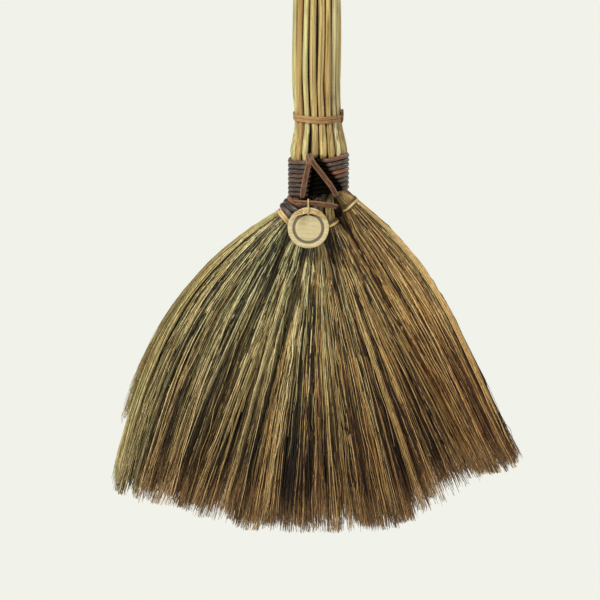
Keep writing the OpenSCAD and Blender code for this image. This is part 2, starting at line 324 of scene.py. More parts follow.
class Paint:
    """A node material built up a step at a time round one Principled shader."""

    def __init__(self, name, roughness=0.5, **fixed):
        self.material = bpy.data.materials.new(name)
        self.material.use_nodes = True
        self.tree = self.material.node_tree
        self.shader = self.tree.nodes["Principled BSDF"]
        self.shader.inputs["Roughness"].default_value = roughness
        for socket, value in fixed.items():
            self.shader.inputs[socket.replace("_", " ")].default_value = value

    def node(self, kind, **inputs):
        made = self.tree.nodes.new(kind)
        for socket, value in inputs.items():
            self.feed(made.inputs[socket.replace("_", " ")], value)
        return made

    def feed(self, socket, value):
        if isinstance(value, bpy.types.NodeSocket):
            self.tree.links.new(value, socket)
        else:
            socket.default_value = value

    def attribute(self, name):
        made = self.tree.nodes.new("ShaderNodeAttribute")
        made.attribute_name = name
        return made.outputs["Fac"]

    def place(self, scale):
        """Object coordinates, stretched."""
        where = self.node("ShaderNodeTexCoord").outputs["Object"]
        made = self.node("ShaderNodeMapping", Vector=where)
        made.inputs["Scale"].default_value = scale
        return made.outputs["Vector"]

    def noise(self, where, scale, detail=4.0, rough=0.55):
        made = self.node("ShaderNodeTexNoise", Vector=where, Scale=scale, Detail=detail,
                         Roughness=rough)
        return made.outputs["Fac"]

    def ramp(self, value, stops):
        """Colours along a number; stops are (position, (r, g, b)) in linear light."""
        made = self.node("ShaderNodeValToRGB", Fac=value)
        elements = made.color_ramp.elements
        while len(elements) < len(stops):
            elements.new(0.5)
        for element, (position, colour) in zip(elements, stops):
            element.position = position
            element.color = (*colour, 1)
        return made.outputs["Color"]

    def shades(self, value, *stops):
        """Colours along a number; stops are (position, red, green, blue), as srgb() takes them."""
        return self.ramp(value, [(position, srgb(*colour)) for position, *colour in stops])

    def mixed(self, share, a, b, mode="MIX"):
        made = self.tree.nodes.new("ShaderNodeMix")
        made.data_type = "RGBA"
        made.blend_type = mode
        made.clamp_factor = True
        self.feed(made.inputs[0], share)
        self.feed(made.inputs[6], a if isinstance(a, bpy.types.NodeSocket) else (*a, 1))
        self.feed(made.inputs[7], b if isinstance(b, bpy.types.NodeSocket) else (*b, 1))
        return made.outputs[2]

    def maths(self, operation, a, b=0.0, c=0.0):
        made = self.tree.nodes.new("ShaderNodeMath")
        made.operation = operation
        for socket, value in zip(made.inputs, (a, b, c)):
            self.feed(socket, value)
        return made.outputs[0]

    def colour(self, value):
        self.feed(self.shader.inputs["Base Color"], value)

    def roughness(self, value, low, high):
        made = self.node("ShaderNodeMapRange", Value=value, To_Min=low, To_Max=high)
        self.feed(self.shader.inputs["Roughness"], made.outputs[0])

    def bump(self, height, strength, distance):
        made = self.node("ShaderNodeBump", Height=height, Strength=strength, Distance=distance)
        self.feed(self.shader.inputs["Normal"], made.outputs["Normal"])


def srgb(r, g, b):
    """Linear light from a colour in the everyday 0 to 255 scale."""
    return tuple(((c / 255 + 0.055) / 1.055) ** 2.4 if c > 10 else c / 255 / 12.92 for c in (r, g, b))


def fibre_paint():
    """Fine grass fibre: olive on the left and golden on the right, browner at the tips. The frayed ends are
    paler, partly their own colour and partly painted light through them; fibres inside the fan are painted
    near black as shade.
    """
    p = Paint("grass_fibre", roughness=0.5, Specular_IOR_Level=0.4)
    tone = p.attribute("tone")
    olive = p.shades(tone, (0.0, 18, 17, 11), (0.22, 68, 66, 42), (0.5, 142, 140, 96),
                     (0.75, 188, 184, 124), (1.0, 228, 224, 180))
    golden = p.shades(tone, (0.0, 26, 14, 8), (0.22, 80, 50, 30), (0.5, 154, 114, 66),
                      (0.75, 200, 158, 90), (1.0, 238, 205, 142))
    body = p.mixed(p.attribute("warm"), olive, golden)
    tips = p.shades(tone, (0.0, 24, 13, 7), (0.3, 72, 40, 19), (0.6, 136, 87, 43), (1.0, 216, 164, 92))
    aged = p.mixed(p.maths("MULTIPLY", p.attribute("along"), 0.75), body, tips)
    # The frayed ends are paler, partly their own colour and partly painted light shining through the thin
    # tips.
    frayed_with_painted_light = p.shades(tone, (0.0, 128, 92, 56), (0.5, 184, 146, 94), (1.0, 230, 196, 140))
    aged = p.mixed(p.maths("MULTIPLY", p.attribute("tip"), 0.85), aged, frayed_with_painted_light)
    grain = p.noise(p.place((800, 800, 240)), 1.0, 4.0, 0.6)
    grained = p.mixed(0.4, aged, p.ramp(grain, [(0.32, (0.22, 0.19, 0.15)), (0.5, (0.85, 0.84, 0.8)),
                                                 (0.68, (1.6, 1.58, 1.5))]), "MULTIPLY")
    # Painted shade: where a fibre lies inside the fan or near the neck, its colour goes towards near black.
    p.colour(p.mixed(p.maths("MULTIPLY", p.attribute("deep_shade"), 0.9), grained, srgb(16, 10, 6)))
    p.roughness(grain, 0.36, 0.62)
    return p.material


def core_shade_paint():
    """The stems inside a hand, painted near black as their shade."""
    p = Paint("stems_in_painted_shade", roughness=0.75, Specular_IOR_Level=0.2)
    streaks = p.noise(p.place((700, 700, 26)), 1.0, 5.0)
    p.colour(p.shades(streaks, (0.35, 11, 7, 4), (0.6, 22, 15, 8), (0.75, 48, 35, 18)))
    p.roughness(streaks, 0.6, 0.9)
    p.bump(streaks, 0.8, 0.002)
    return p.material


def stalk_paint():
    """Glossy straw: long fine grain, a tint for each stalk, darker rings at its nodes, and painted shade
    between the stalks and in the neck.
    """
    p = Paint("straw_stalk", roughness=0.34, Specular_IOR_Level=0.5)
    tone = p.attribute("tone")
    straw = p.shades(tone, (0.0, 132, 98, 52), (0.25, 180, 150, 92), (0.5, 200, 178, 118),
                     (0.75, 196, 190, 126), (1.0, 228, 220, 176))
    grain = p.noise(p.place((1300, 1300, 7)), 1.0, 6.0, 0.66)
    blotch = p.noise(p.place((150, 150, 14)), 1.0, 4.0)
    grained = p.mixed(0.9, straw, p.ramp(grain, [(0.36, (0.16, 0.11, 0.06)), (0.46, (0.66, 0.59, 0.48)),
                                                 (0.54, (1.02, 1.0, 0.96)), (0.66, (1.34, 1.34, 1.32))]),
                      "MULTIPLY")
    stained = p.mixed(p.ramp(blotch, [(0.5, (0, 0, 0)), (0.72, (0.7, 0.7, 0.7))]), grained,
                      srgb(140, 96, 50))
    ringed = p.mixed(p.attribute("ring"), stained, srgb(84, 56, 30))
    # Painted shade: the gap attribute darkens the straw where it lies between stalks, inside the neck and
    # below its wrap.
    p.colour(p.mixed(p.attribute("gap"), ringed, srgb(30, 18, 9)))
    p.roughness(grain, 0.28, 0.55)
    p.bump(grain, 0.4, 0.0006)
    return p.material


def strip_paint(name, dark, middle, light, roughness=(0.3, 0.55), edges=0.0, streak=None):
    """Split cane and cord: long grain that follows the strip, by its own attributes; the dark attribute
    paints shade, near black, dull and without shine.
    """
    streak = streak or light
    p = Paint(name, roughness=roughness[0], Specular_IOR_Level=0.5)
    length = p.node("ShaderNodeCombineXYZ", X=p.maths("MULTIPLY", p.attribute("run"), 0.09),
                    Y=p.maths("MULTIPLY", p.attribute("girth"), 7.0), Z=p.attribute("tone")).outputs[0]
    grain = p.noise(length, 3.0, 6.0, 0.62)
    tint_of_turn = p.ramp(p.attribute("tone"), [(0.0, dark), (0.5, middle), (1.0, light)])
    grained = p.mixed(0.5, p.ramp(grain, [(0.36, dark), (0.5, middle), (0.62, streak)]), tint_of_turn)
    worn = p.mixed(p.maths("MULTIPLY", p.attribute("edge"), edges), grained, light)
    # Painted shade: where the dark attribute is set, the colour goes to near black, the shine drops and the
    # roughness rises.
    p.colour(p.mixed(p.attribute("dark"), worn, (0.002, 0.0015, 0.001)))
    p.feed(p.shader.inputs["Specular IOR Level"], p.maths("MULTIPLY_ADD", p.attribute("dark"), -0.5, 0.5))
    dull = p.maths("MULTIPLY", p.attribute("dark"), 0.5)
    p.roughness(p.maths("ADD", grain, dull), *roughness)
    p.bump(grain, 0.5, 0.0006)
    return p.material


def twine_paint():
    p = Paint("raffia", roughness=0.7, Specular_IOR_Level=0.25)
    grain = p.noise(p.place((1800, 1800, 500)), 1.0, 4.0)
    p.colour(p.shades(grain, (0.3, 150, 118, 68), (0.5, 206, 178, 122), (0.72, 238, 220, 176)))
    p.roughness(grain, 0.55, 0.85)
    p.bump(grain, 0.6, 0.0005)
    return p.material


def tag_paint():
    """Pale board with a faint grain, darker where it is burnt or worn."""
    p = Paint("tag_board", roughness=0.62, Specular_IOR_Level=0.3)
    grain = p.noise(p.place((90, 400, 900)), 1.0, 6.0, 0.6)
    fleck = p.noise(p.place((2200, 2200, 2200)), 1.0, 2.0)
    board = p.shades(grain, (0.3, 176, 158, 116), (0.5, 198, 184, 142), (0.7, 212, 200, 160))
    specks = p.ramp(fleck, [(0.35, (0.72, 0.66, 0.55)), (0.55, (1.05, 1.04, 1.0))])
    flecked = p.mixed(0.35, board, specks, "MULTIPLY")
    p.colour(p.mixed(p.attribute("burnt"), flecked, srgb(92, 84, 72)))
    p.roughness(grain, 0.5, 0.75)
    p.bump(fleck, 0.4, 0.0004)
    return p.material


def finish_piece(obj, material, body, replaces=()):
    """Gives a piece its material, slot and body, and the design's parts it is drawn instead of."""
    obj.data.materials.append(material)
    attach(obj, body)
    if replaces:
        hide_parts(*replaces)
    return obj


# ---------------------------------------------------------------- stalks

def packed_places():
    """The stalks' places in the handle, one in the middle and three rings round it."""
    places = [(0.0, 0.0)]
    for ring in (1, 2, 3):
        for k in range(6 * ring):
            a = math.radians(60 * k / ring)
            places.append((ring * STALK_PITCH * math.cos(a), ring * STALK_PITCH * math.sin(a)))
    return places


def hand_of(place):
    """Which hand the stalk at this place in the handle belongs to."""
    x, y = place
    if x < -7.5:
        return 0
    if x > 7.5:
        return 5
    if x < -3:
        return 1
    if x > 3:
        return 4
    return 2 if y < -0.1 else 3


PLACES = packed_places()
HAND_PLACES = [[p for p in PLACES if hand_of(p) == hand] for hand in range(6)]


def stalk_level(place, h):
    """A stalk's middle at a height above the neck's foot, as the design has it."""
    straight = max(0.0, (h - TIE_HEIGHTS[0]) / (BROOM_LENGTH - TIE_HEIGHTS[0]))
    flare = min(1.0, max(0.0, (FLARE_TOP - h) / (FLARE_TOP - NECK_TOP)))
    turn = HANDLE_TWIST * straight
    x = place[0] * math.cos(turn) - place[1] * math.sin(turn)
    y = place[0] * math.sin(turn) + place[1] * math.cos(turn)
    fill_w = (NECK_HALF_W - STALK_D / 2 - 0.2) / (3 * STALK_PITCH)
    fill_d = (NECK_HALF_D - STALK_D / 2 - 0.2) / (3 * STALK_PITCH)
    return np.array([x * mix(1, fill_w, flare), y * mix(1, fill_d, flare), h])


def stalk_in_tie(place, hand, below):
    """Where a stalk runs inside its hand's tie, a distance below the tie's middle."""
    group = np.array(HAND_PLACES[hand])
    middle = (group.min(0) + group.max(0)) / 2
    reach = np.abs(group - middle).max(0)
    corner = np.linalg.norm((group - middle) / reach, axis=1).max()
    room = STALK_END_D / 2 + 0.25
    share = (np.array(place) - middle) / reach / corner
    across = share[0] * (HAND_HALF_W[hand] - room)
    depth = share[1] * (HAND_HALF_D[hand] - room)
    return HAND_CENTRE[hand] + below * down_of(hand) + across * across_of(hand) + np.array([0, depth, 0])


NECK_SHIFT = 1.5
PARTING_X = -5.2
LEFT_LACE_SLOPE = -0.13
RIGHT_LACE_X = 0.5
RIGHT_LACE_SLOPE = 0.66


def recess(x, y, h):
    """How far the neck's front is drawn in, from 0 to 1, between its two laces; the same share paints it
    dark there, as shade.
    """
    below = WRAP_TOP + 2 - h
    left = PARTING_X + LEFT_LACE_SLOPE * below
    right = RIGHT_LACE_X + RIGHT_LACE_SLOPE * below
    across = smooth((x - left) / 1.6) * smooth((right + 3.0 - x) / 3.6)
    front = smooth((-y - 6) / 5)
    tall = smooth(below / 5) * smooth((h - 206) / 6)
    return front * across * tall


def neck_shift(h):
    """The neck stands a little to the right of the handle's middle."""
    return NECK_SHIFT * smooth((292 - h) / 40) * smooth((h - 207) / 10)


def stalk_path(place, hand, wobble):
    """The stalk's middle line in fine steps: straight, pinched at the ties, split at the front."""
    heights = np.concatenate([[BROOM_LENGTH], np.arange(BROOM_LENGTH - 5, FLARE_TOP, -5.0),
                              np.arange(FLARE_TOP - 1, HAND_LEAVE[hand], -3.0)])
    line = [stalk_level(place, h) for h in heights]
    line += [stalk_in_tie(place, hand, b) for b in (-TIE_REACH, TIE_REACH)]
    line = np.array(line)
    h = line[:, 2]
    above = smooth((h - 256) / 10)
    nearest_tie = np.min([np.abs(h - t) for t in TIE_HEIGHTS + [BROOM_LENGTH - 20]], axis=0)
    bulge = 1 + (0.035 + 0.035 * smooth(nearest_tie / 30)) * above
    at_neck = smooth((270 - h) / 24) * smooth((h - 236) / 6)
    line[:, 0] *= bulge + 0.10 * at_neck
    line[:, 1] *= bulge + 0.06 * at_neck
    loose = above * 0.4 * smooth(nearest_tie / 26)
    line[:, 0] += loose * np.sin(h / wobble[0] + wobble[2])
    line[:, 1] += loose * np.sin(h / wobble[1] + wobble[3])
    parting = np.exp(-((line[:, 0] - PARTING_X) / 4.5) ** 2) * smooth((-line[:, 1] - 5) / 4)
    parting *= smooth((266 - h) / 14) * smooth((h - 232) / 8)
    line[:, 0] += np.where(line[:, 0] > PARTING_X, 1, -1) * 0.6 * parting
    line[:, 1] += 1.2 * parting
    line[:, 1] += 3.4 * recess(*line.T)
    line[:, 0] += neck_shift(h)
    return line


STALK_R = (1.7, 2.3)
STALK_SIDES = 18
STALK_FURROW = 0.2
STALK_FURROWS = 3
GOLDEN_TURN = math.radians(137.5)  # from one stalk to the next, so that no two furrows line up


def round_profile(sides, ridge=0.0, ridges=5):
    a = np.linspace(0, 2 * math.pi, sides, endpoint=False)
    r = 1 - ridge * (0.5 + 0.5 * np.cos(ridges * a)) ** 4
    return np.stack([r * np.cos(a), r * np.sin(a)], -1)


def stalk_gap_shade(points):
    """How far, from 0 to 1, a point lies down between the outer stalks or inside the neck, below the wrap
    or in its drawn-in front: the painted shade there.
    """
    x, y, h = points.T
    flare = np.clip((FLARE_TOP - h) / (FLARE_TOP - NECK_TOP), 0, 1)
    x = x - neck_shift(h)
    share = np.hypot(x / mix(HANDLE_R, NECK_HALF_W, flare), y / mix(HANDLE_R, NECK_HALF_D, flare))
    inside = smooth((0.99 - share) / 0.12)
    below_wrap = smooth((222 - h) / 4)
    return np.maximum.reduce([inside * 0.93, below_wrap * 0.85, recess(x, y, h) * smooth((248 - h) / 3)])


def make_stalks(material):
    """Each hand's stalks: joints 95 to 170 mm apart, a cut hollow top, and a thin foot."""
    joint_gap, joint_half_h = (95.0, 170.0), 2.2
    hollow_r, hollow_depth = (0.6, 0.68), 3.0
    for hand, name in enumerate(HANDS):
        paths, widths, tones, rings = [], [], [], []
        for place in HAND_PLACES[hand]:
            wobble = [rng.uniform(14, 40), rng.uniform(14, 40), rng.uniform(0, 6), rng.uniform(0, 6)]
            line = stalk_path(place, hand, wobble)
            h = line[:, 2]
            r = rng.uniform(*STALK_R)
            radius = r * (1 + 0.02 * np.sin(h / 23 + wobble[2]) + 0.2 * smooth((270 - h) / 24))
            radius[h < NECK_TOP] *= 0.8
            radius[-2:] = STALK_END_D / 2
            joints = np.arange(BROOM_LENGTH - rng.uniform(10, 120), 250, -rng.uniform(*joint_gap))
            ring = np.zeros(len(h))
            for j in joints:
                near = np.exp(-((h - j) / joint_half_h) ** 2)
                ring = np.maximum(ring, near)
            radius = radius * (1 + 0.05 * ring)
            top = BROOM_LENGTH - rng.uniform(0, 3.5)
            line[0, 2] = top
            cut = np.repeat(line[:1], 2, 0)
            cut[0, 2] -= hollow_depth
            paths.append(np.concatenate([cut, line]))
            widths.append(np.concatenate([[r * share for share in hollow_r], radius]))
            shade = 0.55 - 0.008 * place[0] + rng.normal(0, 0.22)
            tones.append(np.clip(shade, 0, 1))
            rings.append(np.concatenate([[0.9, 0.15], ring * rng.uniform(0.1, 0.55)]))
        widths = np.array(widths)
        facing = GOLDEN_TURN * np.arange(len(paths))
        facing = np.stack([np.cos(facing), np.sin(facing), 0 * facing], -1)[:, None]
        obj = tubes(f"straw_{name}", paths, np.stack([widths, widths], -1), facing,
                    round_profile(STALK_SIDES, STALK_FURROW, STALK_FURROWS),
                    {"tone": np.array(tones), "ring": np.array(rings)})
        # The painted shade between the stalks, stored as gap.
        tint(obj, "gap", stalk_gap_shade)
        finish_piece(obj, material, "handle", [f"stalks_{name}"])


# ---------------------------------------------------------------- fibres

def bezier(a, b, c, d, t):
    """A cubic curve from a to d, which leaves towards b and arrives from c."""
    u = 1 - t
    return u ** 3 * a + 3 * u ** 2 * t * b + 3 * u * t ** 2 * c + t ** 3 * d


def sheet_points(hand, s, t):
    """Points of the hand's middle sheet: s, -1 to 1, runs across it, and t from tie to tip."""
    centre, down, side = (v[[0, 2]] for v in (HAND_CENTRE[hand], down_of(hand), across_of(hand)))
    start = centre + FLEX_GAP * 0.3 * down + s[..., None] * HAND_HALF_W[hand] * side
    share = (s + 1) / 2
    a, b = HAND_EDGES[hand]
    outward = mix(EDGE_START[a], EDGE_START[b], share)
    finish = mix(EDGE_TIP[a], EDGE_TIP[b], share[..., None])
    tip_lean = mix(EDGE_LEAN[a], EDGE_LEAN[b], share)
    pull = 0.38 * np.linalg.norm(finish - start, axis=-1, keepdims=True)
    first = start + pull * np.stack([np.sin(outward), -np.cos(outward)], -1)
    second = finish - pull * np.stack([np.sin(tip_lean), -np.cos(tip_lean)], -1)
    return bezier(start, first, second, finish, t[..., None])


def depth_range(hand, t):
    """A hand's front and back along its length; the two centre hands share the fan's depth."""
    y, half = HAND_CENTRE[hand][1], HAND_HALF_D[hand]
    front = mix(y - half, -TIP_HALF_DEPTH, t)
    back = mix(y + half, TIP_HALF_DEPTH, t)
    if HANDS[hand] == "centre_front":
        back = mix(y + half, 1.0, np.minimum(1, 3 * t))
    if HANDS[hand] == "centre_back":
        front = mix(y - half, -1.0, np.minimum(1, 3 * t))
    return front, back


def filled_gap(hand, s, t):
    """How far the fibres near a hand's side spread over the gap to the next hand."""
    shift = np.zeros(np.broadcast(s, t).shape + (2,))
    for side, other in ((-1, LEFT_OF[hand]), (1, RIGHT_OF[hand])):
        if other is not None:
            one = np.ones_like(t, dtype=float)
            gap = sheet_points(other, -side * one, t) - sheet_points(hand, side * one, t)
            near = np.clip(side * s, 0, 1.2) ** 1.5 * smooth(t / 0.06)
            shift += 0.6 * near[..., None] * gap
    return shift


def hand_points(hand, s, d, t):
    """Points in the hand: d runs from -1 at its front to 1 at its back."""
    xh = sheet_points(hand, s, t) + filled_gap(hand, s, t)
    front, back = depth_range(hand, t)
    y = (front + back) / 2 + (back - front) / 2 * d
    return np.stack([xh[..., 0], y, xh[..., 1]], -1)


STRAND_STEPS = np.array([0.0, 0.02, 0.06, 0.12, 0.19, 0.27, 0.35, 0.43, 0.51, 0.59, 0.67, 0.75, 0.83,
                         0.91, 0.96, 1.0])
STRAND_WIDTH = (0.17, 0.38)
SURFACE_LOCKS = {"left": 110, "inner_left": 78, "centre_front": 104, "centre_back": 104,
                 "inner_right": 92, "right": 88}
STRANDS_IN_LOCK = 20
SURFACE_TONE = {"left": 0.62, "inner_right": 0.57, "right": 0.56}
USUAL_TONE = 0.6
NECK_SHADE = {"left": 0.0, "right": 0.4}
USUAL_SHADE = 0.2


def ring_places(count, inner, outer):
    """Even random places on a ring of the unit disc."""
    r = np.sqrt(rng.uniform(inner ** 2, outer ** 2, count))
    a = rng.uniform(0, 2 * math.pi, count)
    return r * np.cos(a), r * np.sin(a)


def grow(hand, s, d, reach, lock, pull, sway, frizz):
    """Fibres from tie to tip: drawn towards their lock's middle, swaying with it, and frizzy.

    lock holds each fibre's lock's (s, d), and sway its lock's own drift, in millimetres.
    """
    count = len(s)
    t = STRAND_STEPS[None, :] * reach[:, None]
    gather = pull[:, None] * smooth(t / 0.25) * (1 - 0.25 * smooth((t - 0.7) / 0.3))
    s_at = s[:, None] + (lock[0] - s)[:, None] * gather
    d_at = d[:, None] + (lock[1] - d)[:, None] * gather
    path = hand_points(hand, s_at, d_at, t)
    path[..., 0] += sway[:, 0, None] * t ** 1.4
    path[..., 1] += sway[:, 1, None] * t ** 1.4
    kink = rng.normal(0, 1, (count, len(STRAND_STEPS), 2)) * frizz[:, None, None]
    path[..., :2] += kink * smooth(t / 0.12)[..., None]
    path[..., 1] = np.clip(path[..., 1], -TIP_HALF_DEPTH - 2.5, TIP_HALF_DEPTH + 2.5)
    # Painted shade: the nearer a fibre runs to the hand's middle, the darker it will be painted.
    deep_shade = smooth((0.86 - np.hypot(s_at, d_at)) / 0.3)
    return path, t, deep_shade


def lock_strands(hand, count, inner, outer, each, tone_middle, tone_spread, dark_share):
    """Locks of fibres: every lock has its own length, drift, tone and tightness."""
    ls, ld = ring_places(count, inner, outer)
    reach = rng.normal(0.988, 0.027, count)
    sway = rng.normal(0, 1, (count, 2)) * [3.1, 1.5]
    tone = rng.normal(tone_middle, tone_spread, count)
    tone = np.where(rng.random(count) < dark_share, rng.uniform(0.0, 0.2, count), tone)
    tight = rng.uniform(0.45, 0.92, count)
    size = rng.integers(each // 3, each * 5 // 3, count)
    lock_of = np.repeat(np.arange(count), size)
    n = len(lock_of)
    spread = 0.05 + 0.24 * rng.random(n)
    turn = rng.uniform(0, 2 * math.pi, n)
    s, d = ls[lock_of] + spread * np.cos(turn), ld[lock_of] + spread * np.sin(turn)
    beyond = np.maximum(1, np.hypot(s, d))
    s, d = s / beyond, d / beyond
    frizz = np.where(rng.random(n) < 0.25, 0.7, 0.26)
    fibre_sway = sway[lock_of] + rng.normal(0, 1.0, (n, 2))
    fibre_reach = reach[lock_of] - 0.08 * spread + rng.normal(0, 0.012, n) - 0.3 * (rng.random(n) < 0.06)
    fibre_reach = np.clip(fibre_reach, 0.5, 1.015)
    lock = (ls[lock_of], ld[lock_of])
    path, t, deep_shade = grow(hand, s, d, fibre_reach, lock, tight[lock_of], fibre_sway, frizz)
    own = tone[lock_of] + rng.normal(0, 0.2, n)
    own = np.where(rng.random(n) < 0.3, 0.15 * own, own + 0.3 * (rng.random(n) < 0.12))
    fade = np.where(rng.random(count) < 0.3, rng.uniform(0.5, 0.95, count), 0.05)
    darker = 1 - fade[lock_of, None] * smooth((t - 0.35) / 0.4)
    return path, t, deep_shade, np.clip(own[:, None] * darker, 0, 1)


def even_tone(tone):
    """One tone for the whole length of each fibre."""
    return np.repeat(np.clip(tone, 0, 1)[:, None], len(STRAND_STEPS), 1)


def stray_strands(hand, count):
    """Loose fibres outside the locks, lying a little across the rest."""
    s, d = ring_places(count, 0.9, 1.0)
    reach = rng.uniform(0.35, 0.99, count)
    sway = rng.normal(0, 1, (count, 2)) * [2.6, 1.4]
    grown = grow(hand, s, d, reach, (s, d * 1.04), np.ones(count), sway, np.full(count, 0.35))
    return *grown, even_tone(rng.normal(0.72, 0.2, count))


def edge_strands(hand, side, count, low, high, tone, drift=(0, 3.0)):
    """Fibres along the fan's outer edge that stop between two shares of its length."""
    s, d = side * rng.uniform(0.84, 1.02, count), rng.uniform(-0.8, 0.6, count)
    reach = rng.uniform(low, high, count) - 0.03 * np.abs(np.abs(s) - 0.93) / 0.09
    sway = np.stack([side * rng.uniform(*drift, count), rng.normal(0, 1, count)], -1)
    grown = grow(hand, s, d, reach, (s, d), np.ones(count), sway, np.full(count, 0.25))
    return *grown, even_tone(rng.normal(tone, 0.12, count))


def hand_strands(hand, name):
    """All of a hand's fibres: locks on its surface and just below, strays, and the fan's edges."""
    locks = SURFACE_LOCKS[name]
    tone = SURFACE_TONE.get(name, USUAL_TONE)
    # Painted shade: the lock layer just below the surface gets a low tone, 0.30, and more dark locks, so
    # that it shows as shade between the surface locks.
    groups = [lock_strands(hand, locks, 0.86, 1.0, STRANDS_IN_LOCK, tone, 0.11, 0.2),
              lock_strands(hand, locks // 2, 0.62, 0.82, STRANDS_IN_LOCK, 0.30, 0.14, 0.3),
              stray_strands(hand, 110)]
    if name == "left":
        groups.append(edge_strands(hand, -1, 220, 0.66, 0.82, 0.5, (2.5, 11.0)))
        groups.append(edge_strands(hand, -1, 420, 0.95, 1.0, 0.72))
    if name == "right":
        groups.append(edge_strands(hand, 1, 110, 0.5, 0.97, 0.9))
    return [np.concatenate(parts) for parts in zip(*groups)]


def make_fibres(material, painted_shade_material):
    """Each hand's fibres, in a front and a back piece, and the dark heart inside them, painted near black
    as shade.
    """
    for hand, name in enumerate(HANDS):
        path, t, deep_shade, tone = hand_strands(hand, name)
        count = len(path)
        ends = path[:, -1, 0]
        in_lobe = smooth((-ends - 108) / 12)  # the pale lobe at the fan's lower left
        hue = 0.2 * np.sin(ends / 2.3) + 0.2 * np.sin(ends / 5.9 + 2) + 0.3 * in_lobe
        warm = np.clip(0.44 + ends / 260 + hue + rng.normal(0, 0.22, count), 0, 1)
        tone = np.clip(tone + 0.13 * in_lobe[:, None] * smooth((t - 0.6) / 0.3), 0, 1)
        aging = 1 - 0.85 * in_lobe
        taper = 1.0 - 0.55 * STRAND_STEPS ** 1.5
        radius = rng.uniform(*STRAND_WIDTH, count)[:, None] * taper
        radius = np.stack([radius, radius], -1)
        depth = path[:, 8, 1]
        front = depth <= np.median(depth)
        for half, chosen in (("front", front), ("back", ~front)):
            along = np.clip((t[chosen] - 0.1) / 0.9, 0, 1) * aging[chosen, None]
            # Painted shade: the fibres inside the hand, and those near the tie by NECK_SHADE, are darkened;
            # the tips keep less of it.
            shaded = NECK_SHADE.get(name, USUAL_SHADE)
            dark = np.maximum(deep_shade[chosen], shaded * (1 - smooth(t[chosen] / 0.45)))
            tip = smooth((STRAND_STEPS - 0.9) / 0.1) * aging[chosen, None]
            obj = tubes(f"fibres_{name}_{half}", path[chosen], radius[chosen], (0, 1, 0),
                        round_profile(3), {"tone": tone[chosen], "warm": warm[chosen], "along": along,
                                           "deep_shade": dark * (1 - 0.7 * tip), "tip": tip})
            finish_fibres(obj, hand, material, half == "front")
        make_core(hand, painted_shade_material)


def finish_fibres(obj, hand, material, replaces):
    """Gives a fibre piece its material and bakes its placing into its points; the front piece hides the
    design's solid of its hand.
    """
    obj.data.materials.append(material)
    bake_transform(obj)
    if replaces:
        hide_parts(f"brush_{HANDS[hand]}")


def make_core(hand, material):
    """The dark heart of a hand, painted near black as shade and seen only through the gaps between its
    locks.
    """
    sides, steps = 28, 14
    length, half_w, half_d = 0.86, 0.94, 0.74
    a = np.linspace(0, 2 * math.pi, sides, endpoint=False)
    t = np.linspace(0.0, length, steps)[:, None]
    ragged = 1 + 0.05 * np.sin(9 * a)[None, :] * smooth((t - 0.6) * 4)
    s = np.cos(a)[None, :] * half_w * ragged
    d = np.sin(a)[None, :] * half_d * ragged
    verts = to_frame(hand_points(hand, s, d, t).reshape(-1, 3))
    obj = mesh_from_groups(f"heart_{HANDS[hand]}", verts, tube_faces(1, steps, sides), {})
    finish_fibres(obj, hand, material, False)


CROTCH_DEPTH = 0.42
CROTCH_COUNT = 420


def crotch_paths(left, right, share, depth):
    """Lines from inside the neck down the crotch between two hands, and where they end.

    share runs from the left hand's side, 0, to the right hand's, 1.
    """
    count = len(share)
    inset = 0.6
    edge_l = HAND_CENTRE[left] + HAND_HALF_W[left] * inset * across_of(left)
    edge_r = HAND_CENTRE[right] - HAND_HALF_W[right] * inset * across_of(right)
    waist = mix(edge_l, edge_r, share[:, None])
    waist[:, 1] += depth
    leave = mix(HAND_LEAVE[left], HAND_LEAVE[right], share) + 2.5
    start = np.stack([waist[:, 0] * 0.72 + neck_shift(leave), waist[:, 1], leave], -1)
    t = CROTCH_DEPTH + np.zeros((count, 1))
    ends = [hand_points(hand, np.full((count, 1), side), np.zeros((count, 1)), t)[:, 0]
            for hand, side in ((left, 1.0), (right, -1.0))]
    finish = mix(ends[0], ends[1], share[:, None])
    finish[:, 1] = np.clip(waist[:, 1], -8.5, 8.5)
    steps = np.linspace(0, 1, 9)[None, :, None]
    below = waist + 0.35 * (finish - waist)
    return bezier(start[:, None], waist[:, None], below[:, None], finish[:, None], steps)


def make_crotch_fibres(material, painted_shade_material):
    """Dark loose fibres, round a dark heart, that close the crotches between neighbouring hands; fibres and
    heart are painted dark as shade.
    """
    rings = 6
    for left, right in ((0, 1), (1, 2), (1, 3), (2, 4), (3, 4), (4, 5)):
        pair = f"{HANDS[left]}_{HANDS[right]}"
        sides = crotch_paths(left, right, np.array([0.0, 1.0]), np.zeros(2))[:, :rings]
        across = sides[1] - sides[0]
        half_w = (np.linalg.norm(across, axis=-1) / 2 + 2.8) * np.linspace(1, 0.1, rings) ** 0.4
        half = np.stack([half_w, np.linspace(5, 1, rings)], -1)
        heart = tubes(f"crotch_heart_{pair}", sides.mean(0)[None], half[None], across[None],
                      round_profile(16))
        finish_fibres(heart, left, painted_shade_material, False)
        share = rng.uniform(0.0, 1.0, CROTCH_COUNT)
        path = crotch_paths(left, right, share, rng.uniform(-4.5, 4.5, CROTCH_COUNT))
        radius = np.broadcast_to(rng.uniform(0.16, 0.3, CROTCH_COUNT)[:, None, None], (*path.shape[:2], 2))
        # Painted shade: low tones and a fixed 0.62 of shade darken these fibres.
        tone = np.clip(rng.normal(0.24, 0.18, CROTCH_COUNT), 0, 1)
        warm = np.clip(0.5 + path[:, -1, 0] / 120, 0, 1)
        obj = tubes(f"crotch_{pair}", path, radius, (0, 1, 0), round_profile(3),
                    {"tone": tone, "warm": warm, "along": 0, "tip": 0, "deep_shade": 0.62})
        finish_fibres(obj, left, material, False)


NECK_FIBRES = 1500


